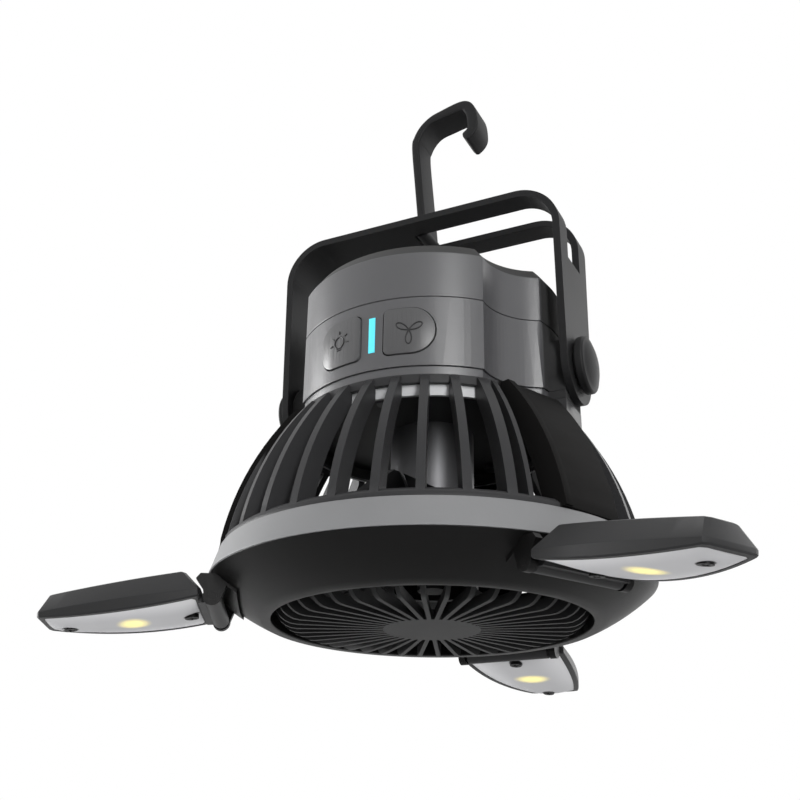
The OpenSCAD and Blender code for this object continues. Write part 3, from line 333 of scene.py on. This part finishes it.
# Each finish: its maker and the maker's arguments
FINISHES = {
    "charcoal": (moulded_plastic, "charcoal_plastic", (0.014, 0.014, 0.0147), 0.46),
    "slat_grey": (cage_plastic,),
    "cap_grey": (cap_plastic,),
    "body_grey": (body_plastic,),
    "hanger_black": (moulded_plastic, "hanger_plastic", (0.0105, 0.0105, 0.011), 0.55, 0.15),
    "grille_black": (moulded_plastic, "grille_plastic", (0.010, 0.010, 0.0105), 0.48, 0.2),
    "band_grey": (moulded_plastic, "band_plastic", (0.20, 0.202, 0.206), 0.42),
    "skirt_grey": (deck_plastic,),
    "black_plastic": (moulded_plastic, "black_plastic", (0.0042, 0.0041, 0.0041), 0.38, 0.15),
    "button_grey": (moulded_plastic, "button_plastic", (0.060, 0.060, 0.062), 0.36, 0.5),
    "rubber": (moulded_plastic, "washer_rubber", (0.012, 0.012, 0.012), 0.7),
    "indicator": (glowing, "indicator_light", (0.09, 0.60, 0.74), 0.52),
    "lens": (lens_plastic,),
    "lamp_board": (glowing, "warm_diode", (1.0, 0.93, 0.62), 0.9),
    "board": (moulded_plastic, "circuit_board", (0.01, 0.10, 0.04), 0.35),
    "cell_wrap": (moulded_plastic, "cell_wrap", (0.02, 0.06, 0.22), 0.25),
    "steel": (machined_metal, "screw_steel", (0.10, 0.10, 0.105)),
    "socket_metal": (machined_metal, "socket_shell", (0.62, 0.62, 0.64), 0.25),
    "motor_steel": (machined_metal, "motor_steel", (0.13, 0.13, 0.135), 0.42),
    "brass": (machined_metal, "contact_brass", (0.62, 0.42, 0.18)),
}

# A node takes the finish of its slot in the record, or a finer one that is named here
SLOTS = {row["node"]: row["material_slot"] for row in frame["record"]["subparts"]}
LOOKS = {
    **SLOTS,
    "housing_cap": "cap_grey", "housing_body": "body_grey", "lower_collar": "body_grey",
    "fan_wheel": "charcoal", "front_grille": "grille_black", "slat_cage": "slat_grey",
    "bracket": "hanger_black", "hook": "hanger_black", "pivot_caps": "hanger_black",
    "lamp_hinge_brackets": "black_plastic", "lamp_pins": "black_plastic",
    **{side + "_lamp_screws": "black_plastic" for side in LAMP_ANGLES},
}


def finish_nodes():
    """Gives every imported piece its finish, and returns the finishes by name."""
    made = {look: maker(*values) for look, (maker, *values) in FINISHES.items()}
    for name, obj in frame["nodes"].items():
        obj.data.materials.clear()
        obj.data.materials.append(made[LOOKS[name]])
    return made


MATERIALS = finish_nodes()


# ---------------------------------------------------------------- surfaces

def shown(name, mesh, body, sharp):
    """Shades a mesh smooth up to a sharp angle in degrees, and makes it a piece that rides on its body."""
    mesh.polygons.foreach_set("use_smooth", [True] * len(mesh.polygons))
    mesh.set_sharp_from_angle(angle=math.radians(sharp))
    obj = bpy.data.objects.new(name, mesh)
    bpy.context.scene.collection.objects.link(obj)
    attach(obj, body)
    return obj


class Skin:
    """Points and faces of one piece, gathered from closed surfaces."""

    def __init__(self):
        self.points, self.faces, self.count = [], [], 0

    def loft(self, rings, capped=True):
        """Skin over an (n, m, 3) array: quads join ring i to ring i + 1, and capped fills the end rings."""
        rows, columns, _ = rings.shape
        corner = np.arange(rows - 1)[:, None] * columns + np.arange(columns)[None, :]
        beside = np.arange(rows - 1)[:, None] * columns + (np.arange(columns)[None, :] + 1) % columns
        quads = np.stack([corner, beside, beside + columns, corner + columns], -1).reshape(-1, 4)
        faces = (quads + self.count).tolist()
        if capped:
            first = np.arange(columns) + self.count
            faces += [first[::-1].tolist(), (first + (rows - 1) * columns).tolist()]
        self.points.append(rings.reshape(-1, 3))
        self.faces += faces
        self.count += rows * columns
        return self

    def build(self, name, body, slot, sharp, look=None):
        """Makes the piece, in metres from millimetres, with its faces turned outwards."""
        mesh = bpy.data.meshes.new(name)
        mesh.from_pydata(np.concatenate(self.points) * MM, [], self.faces)
        shell = bmesh.new()
        shell.from_mesh(mesh)
        bmesh.ops.recalc_face_normals(shell, faces=shell.faces)
        shell.to_mesh(mesh)
        shell.free()
        mesh.materials.append(MATERIALS[look or slot])
        return shown(name, mesh, body, sharp)


def rounded(corners, radius, steps=5):
    """Closed outline whose corners are curves (1-t)^2 a + 2t(1-t) corner + t^2 b. Their ends a and b lie on
    the corner's two sides, radius / tan(half its angle) away from it."""
    corners = np.asarray(corners, float)
    t = np.linspace(0, 1, steps)[:, None]
    out = []
    for before, point, after in zip(np.roll(corners, 1, 0), corners, np.roll(corners, -1, 0)):
        back, ahead = before - point, after - point
        reach = min(np.linalg.norm(back), np.linalg.norm(ahead)) * 0.49
        back, ahead = back / np.linalg.norm(back), ahead / np.linalg.norm(ahead)
        half = np.arccos(np.clip(back @ ahead, -1, 1)) / 2
        cut = min(radius / np.tan(half), reach)
        start, end = point + back * cut, point + ahead * cut
        out.append((1 - t) ** 2 * start + 2 * t * (1 - t) * point + t ** 2 * end)
    return np.concatenate(out)


def softened(node, width, sharp=30, joined=True):
    """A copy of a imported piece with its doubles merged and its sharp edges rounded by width, in
    millimetres. joined merges flat areas, which suits all but the round walls with openings in them."""
    source = frame["nodes"][node]
    mesh = source.data.copy()
    shell = bmesh.new()
    shell.from_mesh(mesh)
    bmesh.ops.remove_doubles(shell, verts=shell.verts, dist=0.000002)
    if joined:
        bmesh.ops.dissolve_limit(shell, angle_limit=math.radians(0.4), verts=shell.verts, edges=shell.edges)
    shell.to_mesh(mesh)
    shell.free()
    obj = shown(node + "_moulded", mesh, source["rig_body"], sharp)
    if width:
        bevel = obj.modifiers.new("edges", "BEVEL")
        bevel.width, bevel.segments = width * MM, 2
        bevel.limit_method, bevel.angle_limit = "ANGLE", math.radians(sharp + 5)
        bevel.harden_normals = joined
    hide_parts(node)


# ---------------------------------------------------------------- lamps

def lamp_half(s):
    """Half width of a lamp: a straight taper plus a parabola that is highest at mid length."""
    root, taper, bulge = 12.8, 6.7, 1.4
    t = (s - LAMP_START) / LAMP_SPAN
    return root - taper * t + bulge * 4 * t * (1 - t)


def rim_h(s):
    """Height of the rim's lower edge: a shallow parabola, lowest near mid length."""
    lowest, middle, flatness = -0.8, 17, 240
    return lowest + (s - middle) ** 2 / flatness


def back_h(s):
    """Height of the sloping flat back."""
    root, fall = 6.3, 0.9
    return root - fall * (s - LAMP_START) / LAMP_SPAN


def above(line, rise):
    """The height of a line along the lamp plus a rise."""
    return lambda s: line(s) + rise


def lamp_ring(inset, start, end, height, steps=20):
    """Outline of a lamp drawn in by inset, with its corners cut, sides that follow lamp_half and its level
    given by height, which is a number or a function of the distance along the lamp."""
    cut_along, cut_across, nose = 0.6, 1.2, 0.5
    s = np.linspace(start, end, steps)
    half = lamp_half(s) - inset
    s = s + np.where(s == start, cut_along, 0.0)
    near, far, tip = half[0] - cut_across, half[-1] - cut_across, end + nose
    lower = np.stack([s, -half], -1)
    plan = np.concatenate([[[start, -near]], lower, [[tip, -far], [tip, far]],
                           lower[::-1] * [1, -1], [[start, near]]])
    level = height(plan[:, 0]) if callable(height) else np.full(len(plan), height)
    return np.column_stack([plan, level])


# From the lens's seat, round the rim and up to the back: the inset, start, end and height of each ring
SHELL_RINGS = (
    (1.3, 3.4, 32.7, 0.7), (1.3, 3.4, 32.7, rim_h), (0.9, 3.0, 33.1, rim_h),
    (0.25, 2.35, 33.75, above(rim_h, 0.05)), (0, LAMP_START, LAMP_END, above(rim_h, 0.35)),
    (0, LAMP_START, LAMP_END, 1.55), (0.12, 2.2, 33.9, 1.8), (3.0, 5.1, 32.3, above(back_h, -0.28)),
    (3.45, 5.5, 31.9, above(back_h, -0.06)), (4.1, 6.1, 31.3, above(back_h, -0.04)),
)


def on_lamp(angle):
    """Places lamp points (along, across, up): a droop about Y, a shift to the hinge pin, a turn about Z."""
    c, s = math.cos(math.radians(DROOP)), math.sin(math.radians(DROOP))
    turn_c, turn_s = math.cos(math.radians(angle)), math.sin(math.radians(angle))

    def place(p):
        r = LAMP_FOOT[0] + p[..., 0] * c + p[..., 2] * s
        z = LAMP_FOOT[1] - p[..., 0] * s + p[..., 2] * c
        return np.stack([r * turn_c - p[..., 1] * turn_s, r * turn_s + p[..., 1] * turn_c, z], -1)
    return place


def rod(radius, half, chamfer, centre=(0, 0), steps=40):
    """Rings of a rod along Y: circles (r cos a, t, r sin a) round a centre in X and Z. The chamfer at both
    ends takes chamfer[0] off the radius within a length of chamfer[1]."""
    a = np.linspace(0, 2 * np.pi, steps, endpoint=False)
    small, inner = radius - chamfer[0], half - chamfer[1]
    return np.stack([np.stack([centre[0] + r * np.cos(a), t + 0 * a, centre[1] + r * np.sin(a)], -1)
                     for r, t in ((small, -half), (radius, -inner), (radius, inner), (small, half))])


def make_shell(side, place, body):
    """The lamp's bevelled shell with its arched rim, its hinge barrel and the arm between them."""
    shell = Skin().loft(place(np.stack([lamp_ring(*ring) for ring in SHELL_RINGS])))
    shell.loft(place(rod(BARREL_R, BARREL_HALF, (0.25, 0.25))))
    arm_half = BARREL_HALF - 0.1
    arm_along, arm_up = [0.2, 2.9, 2.9, 0.2], [-0.8, -0.62, 0.8, 0.8]
    shell.loft(place(np.stack([np.column_stack([arm_along, np.full(4, t), arm_up])
                               for t in (-arm_half, arm_half)])))
    made = shell.build(side + "_lamp_shell", body, SLOTS[side + "_lamp_back"], 24)
    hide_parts(side + "_lamp_back")


def make_lens(side, place, body):
    """The crowned lens: cross sections that follow one another along the lamp, with v from -1 to 1 across.
    Their lower line is the rim's height, less a crown of (1 - v v) that dies out at both ends."""
    seat, crown, middle, reach = 0.12, 1.36, 18.3, 15.2
    cut_along, cut_across, upper_half = 0.6, 1.2, 0.98
    s = np.linspace(LENS_START, LENS_END, 90)[:, None]
    v = np.linspace(-1, 1, 61)[None, :]
    cut = cut_across * np.clip(cut_along - (s - LENS_START), 0, cut_along)
    half = (lamp_half(s) - LENS_INSET) * np.minimum(1, 1 - cut / lamp_half(s))
    ends = np.clip(1 - np.abs((s - middle) / reach) ** 6, 0, 1)
    low = rim_h(s) + seat - (rim_h(s) + crown) * (1 - v ** 2) * ends
    under = np.stack([s + 0 * v, half * v, low], -1)
    flat = 0 * s + 0 * v[:, :2]
    upper = np.stack([s + flat, half * [[upper_half, -upper_half]], LENS_TOP + flat], -1)
    rings = np.concatenate([under, upper], 1)
    made = Skin().loft(place(rings)).build(side + "_lamp_cover", body, SLOTS[side + "_lamp_lens"], 50)
    local = made.data.attributes.new("lamp_place", "FLOAT_VECTOR", "POINT")
    local.data.foreach_set("vector", rings.reshape(-1))
    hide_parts(side + "_lamp_lens")


# ---------------------------------------------------------------- hook

def through(points, steps=8):
    """A smooth line through points: each stretch is the Catmull-Rom cubic of its four neighbours."""
    p = np.asarray(points, float)
    p = np.concatenate([[2 * p[0] - p[1]], p, [2 * p[-1] - p[-2]]])
    t = np.linspace(0, 1, steps, endpoint=False)[:, None]
    runs = [0.5 * (2 * b + (c - a) * t + (2 * a - 5 * b + 4 * c - d) * t ** 2
                   + (3 * b - a - 3 * c + d) * t ** 3)
            for a, b, c, d in zip(p, p[1:], p[2:], p[3:])]
    return np.concatenate(runs + [p[-2:-1]])


def leftwards(ahead):
    """Unit vectors to the left of the directions along a flat line."""
    ahead = ahead / np.linalg.norm(ahead, axis=1)[:, None]
    return np.stack([-ahead[:, 1], ahead[:, 0]], -1)


def make_hook():
    """A flat strap carried along the hook's middle line, and the barrel on its pin. The strap's section
    is a rounded oblong whose inner half thickens past the neck. It narrows at the tip."""
    # the neck's lean and height, the radius of its bend, the tip's reach and how far it drops
    lean, neck, bend, reach, drop = 2.0, 25.0, 8.0, 13.2, 9.0
    thicker, thick_from, thick_over = 0.75, 0.42, 0.2
    crown = np.array([reach - 2, neck + bend + 1])
    top, tip = crown[1], crown[1] - drop
    a = np.radians(np.arange(180, 99, -20))
    elbow = [bend - lean, neck] + bend * np.stack([np.cos(a), np.sin(a)], -1)
    path = through(np.concatenate([
        [[0, 0.6], [-lean * 0.55, neck * 0.54]], elbow,
        [crown - [0.6, 0.0], [reach - 0.3, top - 2.3], [reach + 0.3, tip + 2.2], [reach - 0.3, tip + 0.3],
         [reach - 2.1, tip - 1.2]]]))
    outwards = leftwards(np.gradient(path, axis=0))
    share = np.linspace(0, 1, len(path))[:, None]
    inner = 1.0 + thicker * np.clip((share - thick_from) / thick_over, 0, 1)
    width, depth = rounded([[-STRAP_HALF, -1], [STRAP_HALF, -1], [STRAP_HALF, 1], [-STRAP_HALF, 1]], 0.55).T
    depth = np.where(depth > 0, depth * 0.97, depth * inner)
    taper = np.ones((len(path), 1))
    taper[-2:, 0] = 0.85, 0.55
    flat = path[:, None, :] + outwards[:, None, :] * (depth * taper)[:, :, None]
    y = width * (0.9 + 0.1 * taper)
    skin = Skin().loft(np.stack([flat[..., 0] + HOOK_PIN[0], y, flat[..., 1] + HOOK_PIN[1]], -1))
    skin.loft(rod(1.4, STRAP_HALF, (0.25, 0.22), HOOK_PIN))
    made = skin.build("hanging_hook", frame["nodes"]["hook"]["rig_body"], SLOTS["hook"], 40, LOOKS["hook"])
    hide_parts("hook")


# ---------------------------------------------------------------- buttons

def raised_line(skin, centre, points, closed=False):
    """A raised line on the housing's round front: (x, y) goes to the angle x / radius and the height y, and
    the line's section is a low hump."""
    p = np.asarray(points, float)
    side = leftwards(np.roll(p, -1, 0) - np.roll(p, 1, 0) if closed else np.gradient(p, axis=0))
    half, proud = 0.17, FRONT_R + 0.33
    across, lift = np.array([[-1, -0.72, 0, 0.72, 1], [-0.35, 0.12, 0.2, 0.12, -0.35]])
    flat = p[:, None, :] + side[:, None, :] * across[None, :, None] * half
    radius = proud + lift
    a = np.radians(centre) + flat[..., 0] / proud
    rings = np.stack([radius * np.cos(a), radius * np.sin(a), BUTTON_Z + flat[..., 1]], -1)
    if closed:
        rings = np.concatenate([rings, rings[:1]])
    skin.loft(rings, not closed)


def make_icons():
    """A bulb with rays on the left button, and on the right one a fan of three petals, whose r is the 0.8th
    power of cos 3a with its sign kept."""
    left, right = 270 - BUTTON_ANGLE, 270 + BUTTON_ANGLE
    bulb_r, bulb_at, petal_r, petal_turn = 1.25, np.array([0, 0.35]), 3.0, 0.5
    a = np.radians(np.linspace(-58, 238, 30))
    bulb = Skin()
    raised_line(bulb, left, bulb_at + bulb_r * np.stack([np.cos(a), np.sin(a)], -1))
    for y, half in ((-0.95, 0.62), (-1.4, 0.5)):
        raised_line(bulb, left, [[-half, y], [0, y], [half, y]])
    for ray in np.radians([-10, 35, 90, 145, 190]):
        way = np.array([math.cos(ray), math.sin(ray)])
        raised_line(bulb, left, [way * r + bulb_at for r in (1.85, 2.15, 2.5)])
    bulb.build("light_icon", frame["nodes"]["light_button"]["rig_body"], SLOTS["bracket"], 50)
    a = np.linspace(0, np.pi, 120, endpoint=False)
    r = petal_r * np.sign(np.cos(3 * a)) * np.abs(np.cos(3 * a)) ** 0.8
    petals = Skin()
    raised_line(petals, right, np.stack([r * np.cos(a + petal_turn), r * np.sin(a + petal_turn)], -1), True)
    petals.build("fan_icon", frame["nodes"]["fan_button"]["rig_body"], SLOTS["bracket"], 50)


for lamp, turn in LAMP_ANGLES.items():
    lamp_body = frame["nodes"][lamp + "_lamp_back"]["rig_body"]
    make_shell(lamp, on_lamp(turn), lamp_body)
    make_lens(lamp, on_lamp(turn), lamp_body)
make_hook()
make_icons()
# Pieces with rounded edges: the node, the width and, where they aren't the usual ones, sharp and joined
for row in (("housing_cap", 0.35), ("housing_body", 0, 30, False), ("lower_collar", 0.2), ("bracket", 0.45),
            ("pivot_caps", 0.3), ("light_button", 0.25, 30, False), ("fan_button", 0.25, 30, False),
            ("ring_band", 0.2), ("bottom_ring", 0.3), ("lamp_hinge_brackets", 0.2), ("slat_cage", 0.15, 50),
            ("front_grille", 0.12)):
    softened(*row)


# ---------------------------------------------------------------- stage

# The camera's place in metres, the way it looks and its roll in degrees
CAMERA_AT, CAMERA_AHEAD, CAMERA_ROLL = (0.09405, -0.20615, -0.04792), (-0.4065, 0.8210, 0.4008), 0.847
# Soft boxes: their place and their (width, height) in metres, and their power; all of them face LIT_POINT
SOFT_BOXES = {
    "key": ((-0.68, -0.10, 0.08), (0.22, 0.45), 6.5),
    "fill": ((0.44, -0.52, 0.10), (0.12, 0.5), 4.2),
    "top": ((0.0, 0.1, 0.8), (0.6, 0.6), 1.0),
    "back": ((0.3, 0.7, 0.2), (0.6, 0.6), 1.6),
}
LIT_POINT = (0, 0, 0.05)


def set_camera():
    """Looks up at the fan from the front right, with a 50 mm lens."""
    ahead = Vector(CAMERA_AHEAD).normalized()
    across = ahead.cross(Vector((0, 0, 1))).normalized()
    turn = Matrix((across, across.cross(ahead), -ahead)).transposed().to_4x4()
    data = bpy.data.cameras.new("camera")
    data.lens, data.sensor_width, data.clip_start = 50.0, 36.0, 0.01
    camera = bpy.data.objects.new("camera", data)
    bpy.context.scene.collection.objects.link(camera)
    roll = Matrix.Rotation(math.radians(CAMERA_ROLL), 4, "Z")
    camera.matrix_world = Matrix.Translation(CAMERA_AT) @ turn @ roll
    bpy.context.scene.camera = camera


def soft_box(name, place, size, power):
    """An oblong area lamp of (width, height) that faces LIT_POINT."""
    data = bpy.data.lights.new(name, "AREA")
    data.shape = "RECTANGLE"
    data.energy, (data.size, data.size_y) = power, size
    lamp = bpy.data.objects.new(name, data)
    lamp.location = place
    lamp.rotation_euler = (Vector(LIT_POINT) - Vector(place)).to_track_quat("-Z", "Y").to_euler()
    bpy.context.scene.collection.objects.link(lamp)


def set_surround(dim):
    """A world that is white to camera, glossy and transmission rays and dim to all others."""
    world = bpy.context.scene.world = bpy.data.worlds.new("surround")
    s = Shader("surround", world)
    camera, glossy, through_glass = [s.node("LightPath", output="Is %s Ray" % ray)
                                     for ray in ("Camera", "Glossy", "Transmission")]
    seen = camera.larger(glossy.larger(through_glass))
    light = s.node("Background", {}, {"Color": (1, 1, 1, 1), "Strength": dim + (1.0 - dim) * seen})
    s.node("OutputWorld", {}, {"Surface": light})


def set_floor(size, height, extra):
    """Pale paper under the hanging fan, clear from below and lighter to the camera by extra."""
    bpy.ops.mesh.primitive_plane_add(size=size, location=(0, 0, height))
    floor = bpy.context.object
    floor.name = "floor"
    s = Shader("floor_paper")
    paper = s.node("BsdfDiffuse", {}, {"Color": (0.8, 0.8, 0.8, 1)})
    glow = s.node("Emission", {}, {"Strength": s.node("LightPath", output="Is Camera Ray") * extra})
    lit = s.node("AddShader", {}, {0: paper, 1: glow})
    behind = s.node("NewGeometry", output="Backfacing")
    s.end(s.node("MixShader", {}, {0: behind, 1: lit, 2: s.node("BsdfTransparent")}))
    floor.data.materials.append(s.material)


set_camera()
bpy.context.scene.view_settings.view_transform = "Standard"
set_surround(dim=0.28)
set_floor(size=6.0, height=-0.06, extra=0.45)
for box_name, box_values in SOFT_BOXES.items():
    soft_box(box_name, *box_values)
